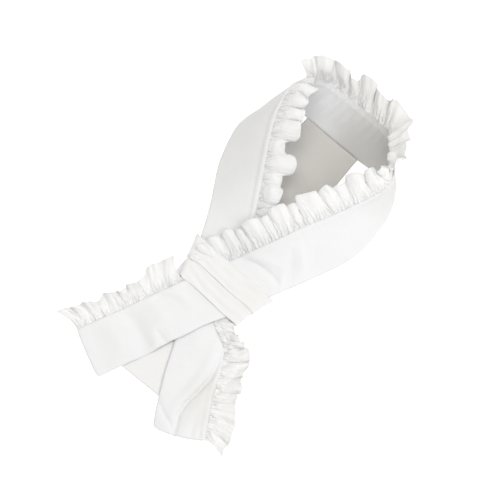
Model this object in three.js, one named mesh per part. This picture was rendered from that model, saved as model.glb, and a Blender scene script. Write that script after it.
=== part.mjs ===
// Cotton kimono collar with a gathered frill, lying with its ends crossed and tied.
// Millimetres, +Z up. The origin is on the surface under the knot, the back of the neck is towards +Y.
import * as THREE from 'three';
import { mergeVertices } from 'three/addons/utils/BufferGeometryUtils.js';

// Driving dimensions. The gap is between the band's seam edge and the frill. The drift and the slope say how
// far the panel's end lies to the side of its neck seam, and how far its end edge drops. The seam turn says
// how soon the frill leaves the band's own direction.
const bandWall = 2.0;
const frillWall = 1.0;
const panelWall = 1.2;
const wrapWall = 1.2;
const seamGap = 0.6;
const panelWidth = 84;
const panelLength = 379;
const panelDrift = 32;
const panelEndSlope = 6;
const panelNeckCorner = { x: 21.4, y: 202 };
const lobeCount = 52;
const stepsPerLobe = 6;
const bandSteps = 132;
const bandStrips = 4;
const frillStrips = 3;
const seamTurn = 1.2;

const clothColour = 0xf4f3ef;
const frillColour = 0xf1efe9;
const wrapColour = 0xf0eee8;
const panelColour = 0xefece5;

// The band, station by station from the end of the right tail, round the neck, to the end of the left tail.
// rim: the edge that carries the frill. hem: the plain edge. roll: how far the padding lifts the outer face.
const stations = [
  { at: 'right tail end', rim: [127, -179, 3.6], hem: [73, -208, 1.6], roll: 1.0 },
  { at: 'right tail foot', rim: [114, -158, 4.0], hem: [65, -197, 2.2], roll: 1.2 },
  { at: 'right tail low', rim: [100, -136, 4.2], hem: [53, -178, 3.2], roll: 1.4 },
  { at: 'right tail middle', rim: [86, -110, 4.4], hem: [37, -152, 3.2], roll: 1.6 },
  { at: 'right tail top', rim: [67, -80, 4.4], hem: [16, -114, 3.2], roll: 1.2 },
  { at: 'lower strand, below the wrap', rim: [52, -58, 4.2], hem: [1, -88, 4.2], roll: 0.2 },
  { at: 'lower strand, under the wrap', rim: [42, -42, 4.2], hem: [-10, -72, 4.2], roll: 0 },
  { at: 'lower strand, crossing', rim: [24, -11, 4.2], hem: [-28, -43, 4.2], roll: 0 },
  { at: 'lower strand, above the wrap', rim: [6, 20, 6.0], hem: [-42, -17, 4.2], roll: 0.2 },
  { at: 'left strand, foot', rim: [-8, 45, 13], hem: [-56, 10, 3.6], roll: 1.6 },
  { at: 'left strand, low', rim: [-23, 70, 22], hem: [-73, 40, 1.6], roll: 2.0 },
  { at: 'left strand, middle', rim: [-53, 116, 35], hem: [-102, 86, 1.6], roll: 2.0 },
  { at: 'left strand, high', rim: [-76, 157, 46], hem: [-118, 132, 1.6], roll: 1.6 },
  { at: 'left turn, start', rim: [-83, 176, 51], hem: [-118, 150, 1.6], roll: 1.6 },
  { at: 'left turn, middle', rim: [-87, 197, 54], hem: [-114, 167, 1.6], roll: 1.6 },
  { at: 'left turn, top', rim: [-85, 216, 54], hem: [-106, 184, 1.6], roll: 1.6 },
  { at: 'left turn, end', rim: [-75, 229, 51], hem: [-94, 196, 1.8], roll: 1.2 },
  { at: 'nape, left', rim: [-61, 237, 48], hem: [-79, 200, 2.6], roll: 1.0 },
  { at: 'nape, middle left', rim: [-43, 240, 46], hem: [-58, 201, 3.0], roll: 1.0 },
  { at: 'nape, middle right', rim: [0, 240, 46], hem: [-14, 201, 3.0], roll: 1.0 },
  { at: 'nape, right', rim: [22, 238, 49], hem: [8, 201, 3.0], roll: 1.0 },
  { at: 'right turn, start', rim: [42, 232, 54], hem: [29, 201, 2.6], roll: 1.0 },
  { at: 'right turn, top', rim: [62, 222, 60], hem: [47, 204, 1.8], roll: 1.4 },
  { at: 'right turn, middle', rim: [76, 208, 64], hem: [65, 207, 1.6], roll: 1.6 },
  { at: 'right turn, side', rim: [84, 195, 63], hem: [81, 203, 1.6], roll: 1.6 },
  { at: 'right turn, end', rim: [86, 181, 60], hem: [92, 187, 1.6], roll: 1.6 },
  { at: 'right strand, high', rim: [79, 163, 53], hem: [100, 165, 1.6], roll: 1.6 },
  { at: 'right strand, middle', rim: [56, 115, 40], hem: [102, 102, 1.6], roll: 2.0 },
  { at: 'right strand, low', rim: [30, 58, 30], hem: [82, 43, 1.8], roll: 2.0 },
  { at: 'right strand, foot', rim: [17, 33, 22], hem: [70, 12, 4.6], roll: 1.6 },
  { at: 'upper strand, above the wrap', rim: [4, 6, 10.4], hem: [59, -19, 7.5], roll: 0.2 },
  { at: 'upper strand, crossing', rim: [-8, -19, 7.5], hem: [48, -48, 7.5], roll: 0 },
  { at: 'upper strand, under the wrap', rim: [-19, -43, 7.5], hem: [36, -73, 7.5], roll: 0 },
  { at: 'upper strand, below the wrap', rim: [-25, -59, 7.1], hem: [30, -88, 7.5], roll: 0.2 },
  { at: 'left tail top', rim: [-31, -77, 6.2], hem: [24, -107, 7.6], roll: 1.2 },
  { at: 'left tail high', rim: [-39, -96, 4.8], hem: [16, -125, 5.8], roll: 1.6 },
  { at: 'left tail middle', rim: [-50, -124, 4.4], hem: [6, -154, 3.2], roll: 1.6 },
  { at: 'left tail end', rim: [-75, -186, 4.0], hem: [-16, -210, 1.8], roll: 1.0 },
];

// How the frill falls from the band at some of the stations. lean: degrees from straight up towards the neck
// side. wide: from seam to free edge. wave: the height of its lobes. fan: how far the free edge runs ahead.
const frillRows = [
  { at: 'right tail end', lean: 84, wide: 30, wave: 3.0, fan: -20 },
  { at: 'right tail foot', lean: 82, wide: 32, wave: 3.2, fan: -6 },
  { at: 'right tail low', lean: 80, wide: 33, wave: 3.4, fan: 0 },
  { at: 'right tail top', lean: 82, wide: 31, wave: 2.6, fan: 0 },
  { at: 'lower strand, below the wrap', lean: 88, wide: 4, wave: 0.4, fan: 0 },
  { at: 'lower strand, under the wrap', lean: 90, wide: 4, wave: 0.3, fan: 0 },
  { at: 'lower strand, crossing', lean: 90, wide: 14, wave: 0.3, fan: 0 },
  { at: 'lower strand, above the wrap', lean: 98, wide: 22, wave: 0.8, fan: 0 },
  { at: 'left strand, foot', lean: 106, wide: 26, wave: 2.0, fan: 0 },
  { at: 'left strand, middle', lean: 104, wide: 29, wave: 4.5, fan: 0 },
  { at: 'left turn, start', lean: 100, wide: 29, wave: 5.0, fan: 0 },
  { at: 'left turn, middle', lean: 96, wide: 30, wave: 5.0, fan: 0 },
  { at: 'left turn, top', lean: 64, wide: 30, wave: 4.5, fan: 0 },
  { at: 'left turn, end', lean: -62, wide: 30, wave: 4.5, fan: -8 },
  { at: 'nape, left', lean: -78, wide: 30, wave: 5.0, fan: -3 },
  { at: 'nape, middle right', lean: -80, wide: 30, wave: 5.0, fan: 0 },
  { at: 'right turn, start', lean: -76, wide: 30, wave: 4.5, fan: 0 },
  { at: 'right turn, middle', lean: -60, wide: 30, wave: 4.5, fan: 0 },
  { at: 'right turn, side', lean: -6, wide: 30, wave: 4.0, fan: 0 },
  { at: 'right turn, end', lean: 66, wide: 29, wave: 4.0, fan: 0 },
  { at: 'right strand, high', lean: 84, wide: 29, wave: 4.5, fan: 0 },
  { at: 'right strand, middle', lean: 88, wide: 29, wave: 5.0, fan: 0 },
  { at: 'right strand, foot', lean: 84, wide: 27, wave: 3.0, fan: 0 },
  { at: 'upper strand, above the wrap', lean: 88, wide: 22, wave: 1.0, fan: 0 },
  { at: 'upper strand, crossing', lean: 90, wide: 18, wave: 0.3, fan: 0 },
  { at: 'upper strand, under the wrap', lean: 92, wide: 5, wave: 0.3, fan: 0 },
  { at: 'upper strand, below the wrap', lean: 90, wide: 4, wave: 0.4, fan: 0 },
  { at: 'left tail top', lean: 84, wide: 28, wave: 2.6, fan: 0 },
  { at: 'left tail middle', lean: 82, wide: 30, wave: 3.0, fan: 0 },
  { at: 'left tail end', lean: 80, wide: 30, wave: 3.2, fan: 20 },
];

// The wrap that ties the crossed strands, row by row across its width: its two sides and its top.
const wrapRows = [
  { y: -56, left: -32, right: 60, top: 9.6 },
  { y: -44, left: -37, right: 61, top: 9.6 },
  { y: -31, left: -43, right: 63, top: 9.8 },
  { y: -28, left: -44, right: 64, top: 11.4 },
  { y: -16, left: -49, right: 67, top: 11.6 },
  { y: -4, left: -54, right: 71, top: 12.2 },
];
const wrapUnderside = 2.1;
const wrapFlatSteps = 6;
const wrapRoundSteps = 6;

function toVector(point) {
  return new THREE.Vector3(point[0], point[1], point[2]);
}

function splineThrough(points) {
  return new THREE.CatmullRomCurve3(points, false, 'centripetal');
}

const rimCurve = splineThrough(stations.map((row) => toVector(row.rim)));
const hemCurve = splineThrough(stations.map((row) => toVector(row.hem)));
const lastStation = stations.length - 1;
const stationOf = new Map(stations.map((row, index) => [row.at, index]));

// Curve parameter, from 0 at the first station to 1 at the last, for an even share of the rim's length
function placeAt(share) {
  return rimCurve.getUtoTmapping(share);
}

// One column of a table at a place along the band, eased between the rows on either side of it
function readColumn(rows, column, place) {
  const station = place * lastStation;
  const next = Math.max(1, rows.findIndex((row) => stationOf.get(row.at) >= station));
  const before = rows[next - 1];
  const after = rows[next];
  const start = stationOf.get(before.at);
  const end = stationOf.get(after.at);
  const share = THREE.MathUtils.smoothstep(station, start, end);
  return THREE.MathUtils.lerp(before[column], after[column], share);
}

// Closed wall of one thickness about a grid of points, open or closed round its columns
function wallAbout(grid, thickness, closedRound) {
  const rowCount = grid.length;
  const columnCount = grid[0].length;
  const columnNear = (column) => (closedRound
    ? (column + columnCount) % columnCount
    : Math.min(Math.max(column, 0), columnCount - 1));
  const rowNear = (row) => Math.min(Math.max(row, 0), rowCount - 1);
  const positions = [];
  for (const side of [0.5, -0.5]) {
    for (let row = 0; row < rowCount; row += 1) {
      for (let column = 0; column < columnCount; column += 1) {
        const along = grid[rowNear(row + 1)][column].clone().sub(grid[rowNear(row - 1)][column]);
        const across = grid[row][columnNear(column + 1)].clone().sub(grid[row][columnNear(column - 1)]);
        const normal = along.cross(across).normalize();
        positions.push(...grid[row][column].clone().addScaledVector(normal, side * thickness).toArray());
      }
    }
  }
  const vertexCount = rowCount * columnCount;
  const indices = [];
  const quad = (a, b, c, d) => indices.push(a, b, c, a, c, d);
  const lastColumn = closedRound ? columnCount : columnCount - 1;
  for (let row = 0; row < rowCount - 1; row += 1) {
    for (let column = 0; column < lastColumn; column += 1) {
      const a = row * columnCount + column;
      const b = row * columnCount + columnNear(column + 1);
      const c = b + columnCount;
      const d = a + columnCount;
      quad(a, d, c, b);
      quad(a + vertexCount, b + vertexCount, c + vertexCount, d + vertexCount);
    }
  }
  for (let column = 0; column < lastColumn; column += 1) {
    const near = column;
    const nearNext = columnNear(column + 1);
    const far = (rowCount - 1) * columnCount + column;
    const farNext = (rowCount - 1) * columnCount + columnNear(column + 1);
    quad(near, nearNext, nearNext + vertexCount, near + vertexCount);
    quad(far, far + vertexCount, farNext + vertexCount, farNext);
  }
  if (!closedRound) {
    for (let row = 0; row < rowCount - 1; row += 1) {
      const first = row * columnCount;
      const last = first + columnCount - 1;
      quad(first, first + vertexCount, first + columnCount + vertexCount, first + columnCount);
      quad(last, last + columnCount, last + columnCount + vertexCount, last + vertexCount);
    }
  }
  return closedGeometry(positions, indices);
}

function signedVolume(positions, indices) {
  const corner = (index) => new THREE.Vector3().fromArray(positions, indices[index] * 3);
  let volume = 0;
  for (let index = 0; index < indices.length; index += 3) {
    volume += corner(index).dot(corner(index + 1).cross(corner(index + 2))) / 6;
  }
  return volume;
}

// Geometry from vertices and triangles, turned so that its faces point outwards
function closedGeometry(positions, indices) {
  if (signedVolume(positions, indices) < 0) {
    indices.reverse();
  }
  const geometry = new THREE.BufferGeometry();
  geometry.setAttribute('position', new THREE.Float32BufferAttribute(positions, 3));
  geometry.setIndex(indices);
  const merged = mergeVertices(geometry, 1e-4);
  merged.computeVertexNormals();
  return merged;
}

// Points across the band at a place along it, from hem to rim, with the soft roll of its padding
function bandRow(place) {
  const hem = hemCurve.getPoint(place);
  const rim = rimCurve.getPoint(place);
  const along = rimCurve.getTangent(place);
  const outward = rim.clone().sub(hem).cross(along).normalize();
  const rollDepth = readColumn(stations, 'roll', place);
  const row = [];
  for (let strip = 0; strip <= bandStrips; strip += 1) {
    const share = strip / bandStrips;
    const lift = rollDepth * Math.sin(Math.PI * share);
    row.push(hem.clone().lerp(rim, share).addScaledVector(outward, lift));
  }
  return row;
}

function makeBand() {
  const grid = [];
  for (let step = 0; step <= bandSteps; step += 1) {
    grid.push(bandRow(placeAt(step / bandSteps)));
  }
  return wallAbout(grid, bandWall, false);
}

// Points across the frill at a place along the band, from its seam at the rim to its free edge
function frillRow(place, lobes) {
  const rim = rimCurve.getPoint(place);
  const hem = hemCurve.getPoint(place);
  const along = rimCurve.getTangent(place);
  const neckSide = new THREE.Vector3(along.y, -along.x, 0).normalize();
  const upward = neckSide.clone().cross(along).normalize();
  const lean = THREE.MathUtils.degToRad(readColumn(frillRows, 'lean', place));
  const fall = neckSide.clone().multiplyScalar(Math.sin(lean)).addScaledVector(upward, Math.cos(lean));
  const seamFall = rim.clone().sub(hem);
  seamFall.addScaledVector(along, -seamFall.dot(along)).normalize();
  const wide = readColumn(frillRows, 'wide', place);
  const wave = readColumn(frillRows, 'wave', place);
  const fan = readColumn(frillRows, 'fan', place);
  const turn = 2 * Math.PI * lobes;
  const row = [];
  const point = rim.clone().addScaledVector(seamFall, seamGap);
  row.push(point.clone());
  for (let strip = 1; strip <= frillStrips; strip += 1) {
    const share = strip / frillStrips;
    const heading = seamFall.clone().lerp(fall, Math.min(1, share * seamTurn)).normalize();
    point.addScaledVector(heading, wide / frillStrips).addScaledVector(along, fan / frillStrips);
    const normal = heading.clone().cross(along).normalize();
    const swing = wave * share * Math.sin(turn);
    row.push(point.clone().addScaledVector(normal, swing));
  }
  return row;
}

function makeFrill() {
  const grid = [];
  const steps = lobeCount * stepsPerLobe;
  for (let step = 0; step <= steps; step += 1) {
    grid.push(frillRow(placeAt(step / steps), step / stepsPerLobe));
  }
  return wallAbout(grid, frillWall, false);
}

// Points round the wrap in one row: flat over the strands, round one side, flat under them, round the other
function wrapRow({ y, left, right, top }) {
  const radius = (top - wrapUnderside) / 2;
  const middle = (top + wrapUnderside) / 2;
  const leftCentre = left + radius;
  const rightCentre = right - radius;
  const halves = [
    { from: leftCentre, to: rightCentre, height: top, startAngle: Math.PI / 2 },
    { from: rightCentre, to: leftCentre, height: wrapUnderside, startAngle: -Math.PI / 2 },
  ];
  const row = [];
  for (const { from, to, height, startAngle } of halves) {
    for (let step = 0; step < wrapFlatSteps; step += 1) {
      row.push(new THREE.Vector3(THREE.MathUtils.lerp(from, to, step / wrapFlatSteps), y, height));
    }
    for (let step = 0; step < wrapRoundSteps; step += 1) {
      const angle = startAngle - (Math.PI * step) / wrapRoundSteps;
      row.push(new THREE.Vector3(to + radius * Math.cos(angle), y, middle + radius * Math.sin(angle)));
    }
  }
  return row;
}

function makeWrap() {
  return wallAbout(wrapRows.map(wrapRow), wrapWall, true);
}

// Flat cloth laid from the neck seam, its local origin at the seam's right corner, down towards the tails
function makePanel() {
  const outline = new THREE.Shape();
  outline.moveTo(0, 0);
  outline.lineTo(-panelWidth, 0);
  outline.lineTo(panelDrift - panelWidth, -panelLength - panelEndSlope);
  outline.lineTo(panelDrift, -panelLength);
  outline.closePath();
  const geometry = new THREE.ExtrudeGeometry(outline, { depth: panelWall, bevelEnabled: false });
  geometry.deleteAttribute('normal');
  geometry.deleteAttribute('uv');
  const merged = mergeVertices(geometry, 1e-4);
  merged.computeVertexNormals();
  return merged;
}

function clothPiece(name, geometry, colour, roughness) {
  const material = new THREE.MeshStandardMaterial({ color: colour, roughness, metalness: 0 });
  const piece = new THREE.Mesh(geometry, material);
  piece.name = name;
  return piece;
}

const collar = new THREE.Group();
collar.add(clothPiece('collar_band', makeBand(), clothColour, 0.85));
collar.add(clothPiece('frill', makeFrill(), frillColour, 0.9));
collar.add(clothPiece('keeper_wrap', makeWrap(), wrapColour, 0.85));

const panel = clothPiece('back_panel', makePanel(), panelColour, 0.9);
panel.position.set(panelNeckCorner.x, panelNeckCorner.y, 0);
collar.add(panel);

export default collar;
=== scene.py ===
# Cotton kimono collar with a gathered frill, lying with its ends crossed and tied
import math
import bmesh
import bpy
import numpy as np
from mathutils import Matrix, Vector
from mathutils.bvhtree import BVHTree


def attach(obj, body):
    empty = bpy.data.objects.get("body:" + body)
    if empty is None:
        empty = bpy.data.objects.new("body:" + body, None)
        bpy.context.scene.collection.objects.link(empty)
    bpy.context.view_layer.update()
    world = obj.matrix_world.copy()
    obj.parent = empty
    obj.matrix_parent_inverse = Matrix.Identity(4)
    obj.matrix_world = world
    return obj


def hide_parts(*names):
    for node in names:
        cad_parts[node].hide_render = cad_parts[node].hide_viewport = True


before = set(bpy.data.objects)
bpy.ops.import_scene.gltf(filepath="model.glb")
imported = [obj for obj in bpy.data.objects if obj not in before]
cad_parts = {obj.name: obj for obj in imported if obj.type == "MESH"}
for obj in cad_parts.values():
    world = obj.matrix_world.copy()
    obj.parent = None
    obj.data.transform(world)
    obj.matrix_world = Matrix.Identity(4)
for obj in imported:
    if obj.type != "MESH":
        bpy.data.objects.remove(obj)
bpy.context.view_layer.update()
mm = 0.001  # the tables below are in millimetres

# The band from the end of the right tail, round the neck, to the end of the left tail.
# Each row: rim x, y, z (the edge that carries the frill), hem x, y, z (the plain edge), crown between them
bandStations = [
    (127, -179, 3.6, 73, -208, 1.6, 1.0),
    (114, -158, 4.0, 65, -197, 2.2, 1.2),
    (100, -136, 4.2, 53, -178, 3.2, 1.4),
    (86, -110, 4.4, 37, -152, 3.2, 1.6),
    (67, -80, 4.4, 16, -114, 3.2, 1.2),
    (52, -58, 4.2, 1, -88, 4.2, 0.2),
    (42, -42, 4.2, -10, -72, 4.2, 0.0),
    (24, -11, 4.2, -28, -43, 4.2, 0.0),
    (6, 20, 6.0, -42, -17, 4.2, 0.2),
    (-8, 45, 13, -56, 10, 3.6, 1.6),
    (-23, 70, 22, -73, 40, 1.6, 2.0),
    (-53, 116, 35, -102, 86, 1.6, 2.0),
    (-76, 157, 46, -118, 132, 1.6, 1.6),
    (-83, 176, 51, -118, 150, 1.6, 1.6),
    (-87, 197, 54, -114, 167, 1.6, 1.6),
    (-85, 216, 54, -106, 184, 1.6, 1.6),
    (-75, 229, 51, -94, 196, 1.8, 1.2),
    (-61, 237, 48, -79, 200, 2.6, 1.0),
    (-43, 240, 46, -58, 201, 3.0, 1.0),
    (0, 240, 46, -14, 201, 3.0, 1.0),
    (22, 238, 49, 8, 201, 3.0, 1.0),
    (38, 234, 54, 29, 201, 2.6, 1.0),
    (53, 223, 60, 47, 204, 1.8, 1.4),
    (67, 209, 63, 65, 207, 1.6, 1.6),
    (78, 195, 62, 81, 203, 1.6, 1.6),
    (83, 181, 59, 92, 187, 1.6, 1.6),
    (79, 164, 53, 100, 165, 1.6, 1.6),
    (56, 115, 40, 102, 102, 1.6, 2.0),
    (30, 58, 30, 82, 43, 1.8, 2.0),
    (17, 33, 22, 70, 12, 4.6, 1.6),
    (4, 6, 10.4, 59, -19, 7.5, 0.2),
    (-8, -19, 7.5, 48, -48, 7.5, 0.0),
    (-19, -43, 7.5, 36, -73, 7.5, 0.0),
    (-25, -59, 7.1, 30, -88, 7.5, 0.2),
    (-31, -77, 6.2, 24, -107, 7.6, 1.2),
    (-39, -96, 4.8, 16, -125, 5.8, 1.6),
    (-50, -124, 4.4, 6, -154, 3.2, 1.6),
    (-75, -186, 4.0, -16, -210, 1.8, 1.0),
]


# curves and unevenness
def smoothPath(points, places):
    # a curve through all the points, with turns that suit their spacing
    points = np.asarray(points, float)
    first = 2 * points[0] - points[1]
    last = 2 * points[-1] - points[-2]
    padded = np.vstack([first, points, last])
    index = np.clip(places.astype(int), 0, len(points) - 2)
    share = (places - index)[:, None]
    before, here, after, beyond = (padded[index + k] for k in range(4))
    spans = [np.maximum(np.linalg.norm(b - a, axis=1), 1e-4)[:, None] ** 0.5
             for a, b in ((before, here), (here, after), (after, beyond))]
    startTurn = ((here - before) / spans[0] - (after - before) / (spans[0] + spans[1])
                 + (after - here) / spans[1]) * spans[1]
    endTurn = ((after - here) / spans[1] - (beyond - here) / (spans[1] + spans[2])
               + (beyond - after) / spans[2]) * spans[1]
    square = share ** 2
    cube = share ** 3
    return (here + startTurn * share + (3 * (after - here) - 2 * startTurn - endTurn) * square
            + (2 * (here - after) + startTurn + endTurn) * cube)


def eased(share):
    share = np.clip(share, 0, 1)
    return share * share * (3 - 2 * share)


def startedBy(place, start, fade):
    return eased((place - start) / fade)


def endedBy(place, end, fade):
    return eased((end - place) / fade)


def within(place, start, startFade, end, endFade):
    return startedBy(place, start, startFade) * endedBy(place, end, endFade)


# how far the uneven patterns run, in millimetres, and the knots that they have to spare
uneven = {"line": 4000, "along": 2400, "across": 500, "spare": 8, "before": 2}


def unevenLine(along, size, seed):
    knots = int(uneven["line"] / size) + uneven["spare"]
    values = np.random.default_rng(seed).uniform(-1, 1, knots)
    place = along / size + uneven["before"]
    index = place.astype(int)
    return values[index] + (values[index + 1] - values[index]) * eased(place - index)


def varying(along, amount, size, seed):
    return amount * unevenLine(along, size, seed)


def unevenSheet(along, across, size, seed):
    knots = [int(uneven[side] / size) + uneven["spare"] for side in ("along", "across")]
    values = np.random.default_rng(seed).uniform(-1, 1, knots)
    placeA = along / size + uneven["before"]
    placeB = across / size + uneven["before"]
    indexA = placeA.astype(int)
    indexB = placeB.astype(int)
    shareA = eased(placeA - indexA)
    shareB = eased(placeB - indexB)
    near = values[indexA, indexB] * (1 - shareA) + values[indexA + 1, indexB] * shareA
    far = values[indexA, indexB + 1] * (1 - shareA) + values[indexA + 1, indexB + 1] * shareA
    return near * (1 - shareB) + far * shareB


def bump(distance, width):
    return np.exp(-(distance / width) ** 2)


pathPoints = 6001
stationPlaces = np.linspace(0, len(bandStations) - 1, pathPoints)
rimPoints = smoothPath([row[0:3] for row in bandStations], stationPlaces)
hemPoints = smoothPath([row[3:6] for row in bandStations], stationPlaces)
crownHeights = np.interp(stationPlaces, range(len(bandStations)), [row[6] for row in bandStations])
rimSteps = np.linalg.norm(np.diff(rimPoints, axis=0), axis=1)
rimRun = np.concatenate([[0], np.cumsum(rimSteps)])
seamLength = rimRun[-1]


def unit(vectors):
    return vectors / np.maximum(np.linalg.norm(vectors, axis=-1, keepdims=True), 1e-9)


def seamAt(run):
    rim = np.stack([np.interp(run, rimRun, rimPoints[:, k]) for k in range(3)], 1)
    hem = np.stack([np.interp(run, rimRun, hemPoints[:, k]) for k in range(3)], 1)
    reach = 1.5  # how far ahead and behind the direction is read
    ahead = np.stack([np.interp(run + reach, rimRun, rimPoints[:, k]) for k in range(3)], 1)
    behind = np.stack([np.interp(run - reach, rimRun, rimPoints[:, k]) for k in range(3)], 1)
    along = unit(ahead - behind)
    outward = unit(np.cross(rim - hem, along))
    crown = np.interp(run, rimRun, crownHeights)
    return rim, hem, along, outward, crown


# making meshes
def linkedObject(name, data):
    made = bpy.data.objects.new(name, data)
    bpy.context.scene.collection.objects.link(made)
    return made


def levelSquare(name, halfSide, height=0.0):
    work = bmesh.new()
    bmesh.ops.create_grid(work, x_segments=1, y_segments=1, size=halfSide)
    bmesh.ops.translate(work, vec=(0, 0, height), verts=work.verts)
    mesh = bpy.data.meshes.new(name)
    work.to_mesh(mesh)
    work.free()
    return linkedObject(name, mesh)


def clothGrid(name, alongSteps, acrossSteps, shape, joined=False):
    # shape gives each point's place and its place on the flat cloth, from 0 to 1 along and across
    work = bmesh.new()
    bmesh.ops.create_grid(work, x_segments=alongSteps, y_segments=acrossSteps, size=0.5)
    work.verts.ensure_lookup_table()
    work.verts.index_update()
    along = np.array([vert.co.x for vert in work.verts]) + 0.5
    across = np.array([vert.co.y for vert in work.verts]) + 0.5
    places, flat = shape(along, across)
    places = places * mm
    flat = flat * mm
    for vert, place in zip(work.verts, places):
        vert.co = place
    layer = work.loops.layers.uv.new("cloth")
    for face in work.faces:
        for loop in face.loops:
            loop[layer].uv = flat[loop.vert.index]
    if joined:
        bmesh.ops.remove_doubles(work, verts=work.verts, dist=1e-6)
    for face in work.faces:
        face.smooth = True
    mesh = bpy.data.meshes.new(name)
    work.to_mesh(mesh)
    work.free()
    return linkedObject(name, mesh)


def giveThickness(piece, thickness, thinGroup=None):
    solidify = piece.modifiers.new("two sides", "SOLIDIFY")
    solidify.thickness = thickness * mm
    solidify.offset = 0
    solidify.use_even_offset = False
    solidify.use_rim = True
    if thinGroup:
        solidify.vertex_group = thinGroup


def soften(piece, levels):
    subdivision = piece.modifiers.new("softened", "SUBSURF")
    subdivision.levels = levels
    subdivision.render_levels = levels


def finishPiece(piece, material, *nodes, slot):
    piece.data.materials.clear()
    piece.data.materials.append(material)
    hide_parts(*nodes)
    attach(piece, "root")


# materials
def makeNode(tree, kind, x, y, **settings):
    node = tree.nodes.new(kind)
    node.location = (x, y)
    for key, value in settings.items():
        setattr(node, key, value)
    return node


def mathNode(tree, operation, x, y, first=None, second=None, third=None, clamp=False):
    node = makeNode(tree, "ShaderNodeMath", x, y, operation=operation, use_clamp=clamp)
    for index, value in enumerate((first, second, third)):
        if value is None:
            continue
        if isinstance(value, (int, float)):
            node.inputs[index].default_value = value
        else:
            tree.links.new(value, node.inputs[index])
    return node.outputs[0]


def startGroup(name, place, values, results):
    # a node group with the place it reads, its values as they usually are, and its results
    group = bpy.data.node_groups.new(name, "ShaderNodeTree")
    group.interface.new_socket(place, in_out="INPUT", socket_type="NodeSocketVector")
    for key, value in values.items():
        kind = "NodeSocketVector" if isinstance(value, tuple) else "NodeSocketFloat"
        group.interface.new_socket(key, in_out="INPUT", socket_type=kind).default_value = value
    for key in results:
        group.interface.new_socket(key, in_out="OUTPUT", socket_type="NodeSocketFloat")
    return group, makeNode(group, "NodeGroupInput", -900, 0), makeNode(group, "NodeGroupOutput", 700, 0)


def makePlainWeave():
    group, entry, leave = startGroup(
        "plainWeave", "Cloth", {"Threads per metre": 2200.0, "Slub": 0.4}, ["Height", "Shade"])
    wander = makeNode(group, "ShaderNodeTexNoise", -700, -220)
    wander.inputs["Scale"].default_value = 900.0
    wander.inputs["Detail"].default_value = 1.0
    group.links.new(entry.outputs["Cloth"], wander.inputs["Vector"])
    parts = makeNode(group, "ShaderNodeSeparateXYZ", -700, 60)
    group.links.new(entry.outputs["Cloth"], parts.inputs[0])
    crooked = 1.2  # how far a thread strays, in radians of its wave
    turns = mathNode(group, "MULTIPLY", -700, 220, entry.outputs["Threads per metre"], math.pi)
    shift = mathNode(group, "MULTIPLY", -500, -220, wander.outputs[0], crooked)
    warp = mathNode(group, "SINE", -100, 120, mathNode(
        group, "MULTIPLY_ADD", -300, 120, parts.outputs[0], turns, shift))
    weft = mathNode(group, "SINE", -100, -40, mathNode(
        group, "MULTIPLY_ADD", -300, -40, parts.outputs[1], turns, shift))
    crossing = mathNode(group, "MULTIPLY", 80, 40, warp, weft)
    slub = mathNode(group, "MULTIPLY", 80, -200, wander.outputs[0], entry.outputs["Slub"])
    height = mathNode(group, "MULTIPLY_ADD", 300, 60, crossing, 0.5, slub)
    shade = mathNode(group, "MULTIPLY_ADD", 300, -120, crossing, 0.5, 0.5)
    group.links.new(height, leave.inputs["Height"])
    group.links.new(shade, leave.inputs["Shade"])
    return group


def makeSoftWrinkles():
    group, entry, leave = startGroup("softWrinkles", "Place", {"Size": 60.0}, ["Height", "Mottle"])
    broad = makeNode(group, "ShaderNodeTexNoise", -400, 160)
    broad.inputs["Detail"].default_value = 2.0
    broad.inputs["Roughness"].default_value = 0.45
    broad.inputs["Distortion"].default_value = 0.6
    group.links.new(entry.outputs["Place"], broad.inputs["Vector"])
    group.links.new(entry.outputs["Size"], broad.inputs["Scale"])
    finer = 3.7
    fineShare = 0.3
    fine = makeNode(group, "ShaderNodeTexNoise", -400, -140)
    fine.inputs["Detail"].default_value = 1.0
    group.links.new(entry.outputs["Place"], fine.inputs["Vector"])
    fineSize = mathNode(group, "MULTIPLY", -550, -200, entry.outputs["Size"], finer)
    group.links.new(fineSize, fine.inputs["Scale"])
    height = mathNode(group, "MULTIPLY_ADD", 0, 60, fine.outputs[0], fineShare, broad.outputs[0])
    group.links.new(height, leave.inputs["Height"])
    group.links.new(broad.outputs[0], leave.inputs["Mottle"])
    return group


def makeStitchRow():
    group, entry, leave = startGroup(
        "stitchRow", "Cloth", {"Distance": 0.026, "Stitches per metre": 420.0}, ["Mask"])
    parts = makeNode(group, "ShaderNodeSeparateXYZ", -500, 0)
    group.links.new(entry.outputs["Cloth"], parts.inputs[0])
    sharpness = 3600.0  # the sewn line fades out in one over this many metres
    off = mathNode(group, "SUBTRACT", -320, -80, parts.outputs[1], entry.outputs["Distance"])
    away = mathNode(group, "ABSOLUTE", -150, -80, off)
    share = mathNode(group, "MULTIPLY", -60, -180, away, sharpness)
    line = mathNode(group, "SUBTRACT", 20, -80, 1.0, share, clamp=True)
    count = mathNode(group, "MULTIPLY", -420, 200, parts.outputs[0], entry.outputs["Stitches per metre"])
    turns = mathNode(group, "MULTIPLY", -320, 120, count, 2 * math.pi)
    beat = mathNode(group, "SINE", -150, 120, turns)
    dash = mathNode(group, "MULTIPLY_ADD", 20, 120, beat, 2.0, 1.0, clamp=True)
    group.links.new(mathNode(group, "MULTIPLY", 240, 20, line, dash), leave.inputs["Mask"])
    return group


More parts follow.
